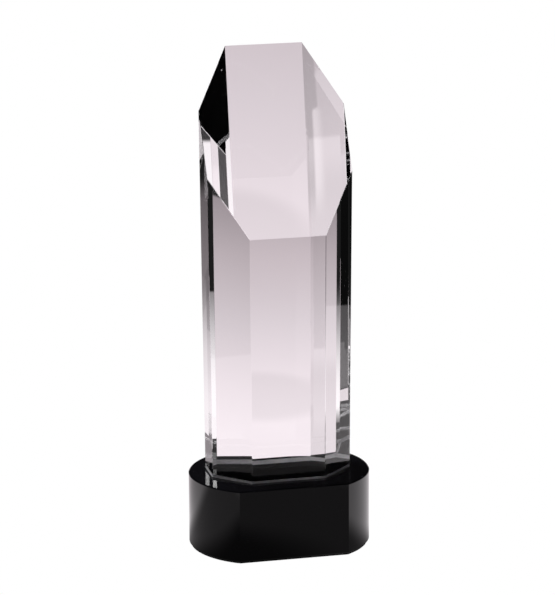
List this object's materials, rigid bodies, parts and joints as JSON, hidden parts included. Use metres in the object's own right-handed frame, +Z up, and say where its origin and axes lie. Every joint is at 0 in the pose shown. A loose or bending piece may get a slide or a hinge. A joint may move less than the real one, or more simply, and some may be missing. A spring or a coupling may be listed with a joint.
{
  "type": "crystal award",
  "caption": "Free-standing award: a clear eight-sided crystal tower with a slanted face, bonded to a black block that is round except for its flat front, on a felt pad.",
  "frame": {"origin": "centre of the award's footprint, on the surface that it stands on", "axes": "+Z up; -Y is the front, which the slanted face and the flat front of the base look towards; +X to the right seen from the front"},
  "size_m": [0.1, 0.0776, 0.273],
  "materials": {
    "felt": "pressed black felt",
    "pad_adhesive": "adhesive film",
    "black_crystal": "polished, opaque black",
    "clear_bond": "clear cured adhesive",
    "clear_crystal": "polished optical crystal"
  },
  "bodies": {
    "root": {"felt_pad": "felt", "pad_adhesive": "pad_adhesive", "black_base": "black_crystal", "bond_film": "clear_bond", "crystal_tower": "clear_crystal"}
  },
  "joints": []
}
